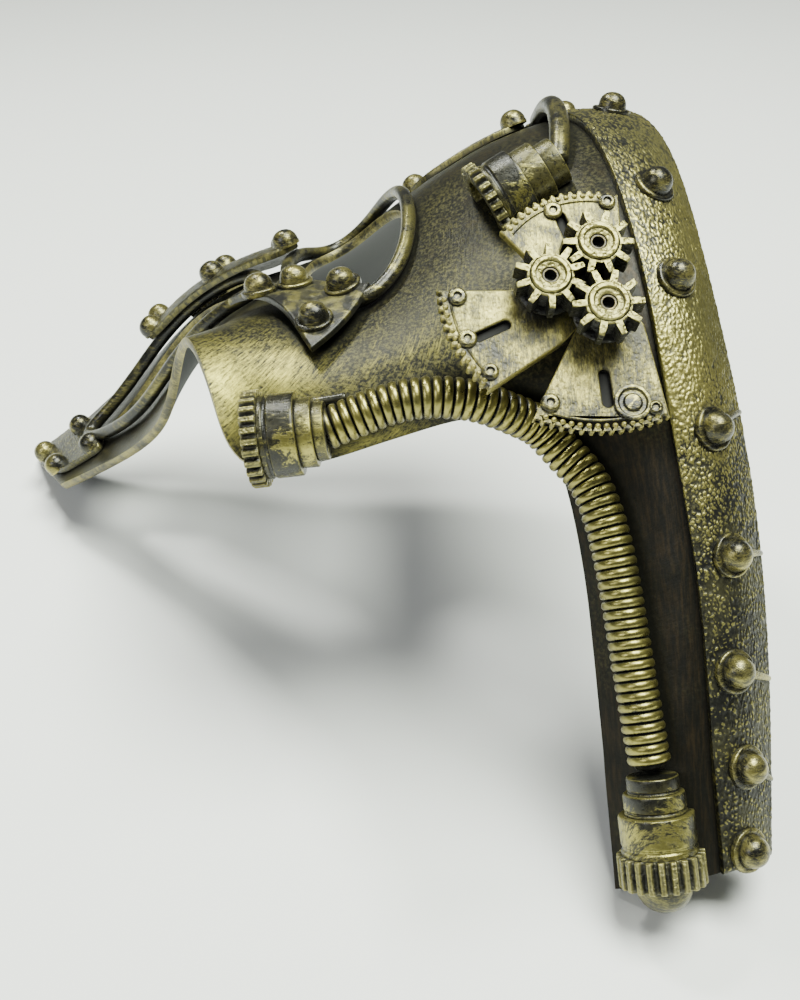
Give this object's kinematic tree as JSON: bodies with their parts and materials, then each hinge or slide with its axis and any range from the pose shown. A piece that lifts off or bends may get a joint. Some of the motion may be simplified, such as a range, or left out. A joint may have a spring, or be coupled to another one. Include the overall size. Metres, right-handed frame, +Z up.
{
  "type": "steampunk half-face mask",
  "caption": "Asymmetric steampunk half-face costume mask with eye openings, riveted leather-look edge band, corrugated hose, pipe nozzles and a cluster of toothed plates and pinions.",
  "frame": {"origin": "on the floor plane, under the middle of the bounding box of the mask as it stands", "axes": "+Z up as the mask stands on its jaw end and far temple tip; +X from the far temple tip towards the jaw end and edge band; +Y away from the viewer of the front, towards the upper edge of the mask"},
  "size_m": [0.2022, 0.1922, 0.1343],
  "materials": {
    "shell": "moulded shell, painted dark bronze over black outside and left bare dark grey inside",
    "band_leather": "pebbled leather look, painted antique gold with worn edges",
    "strap_leather": "leather grain, painted dull gold and rubbed dark in the grain",
    "rim_pipe": "antique gold paint with brushed streaks and black in the recesses",
    "hose": "antique gold paint on the ring crests, black between the rings",
    "nozzle": "antique gold paint, dark stepped corners",
    "gear": "antique gold paint, bright worn edges and dark tooth roots",
    "rivet": "antique gold paint, polished dome tops",
    "dark_pin": "dark bronze paint"
  },
  "bodies": {
    "root": {"face_shell": "shell", "edge_band": "band_leather", "band_washers": "rivet", "band_rivets": "rivet", "near_eye_pipe": "rim_pipe", "far_eye_pipe": "rim_pipe", "nose_plate": "rim_pipe", "nose_rivets": "rivet", "near_brow_strap": "strap_leather", "near_brow_rivets": "rivet", "far_brow_strap": "strap_leather", "far_brow_rivets": "rivet", "temple_plate": "strap_leather", "temple_rivets": "rivet", "over_pipe": "rim_pipe", "corrugated_hose": "hose", "nose_flange": "nozzle", "nose_drums": "nozzle", "nose_bead": "rim_pipe", "jaw_collar": "nozzle", "jaw_flange": "nozzle", "jaw_drum": "nozzle", "jaw_toothed_ring": "nozzle", "jaw_cap": "nozzle", "temple_flange": "nozzle", "temple_drums": "nozzle", "far_nozzle_flange": "nozzle", "far_hose_stub": "hose", "gear_hub": "dark_pin", "upper_sector_plate": "gear", "left_sector_plate": "gear", "lower_sector_plate": "gear", "sector_screws": "rivet", "upper_pinion": "gear", "left_pinion": "gear", "lower_pinion": "gear", "upper_pinion_pin": "dark_pin", "left_pinion_pin": "dark_pin", "lower_pinion_pin": "dark_pin"}
  },
  "joints": []
}
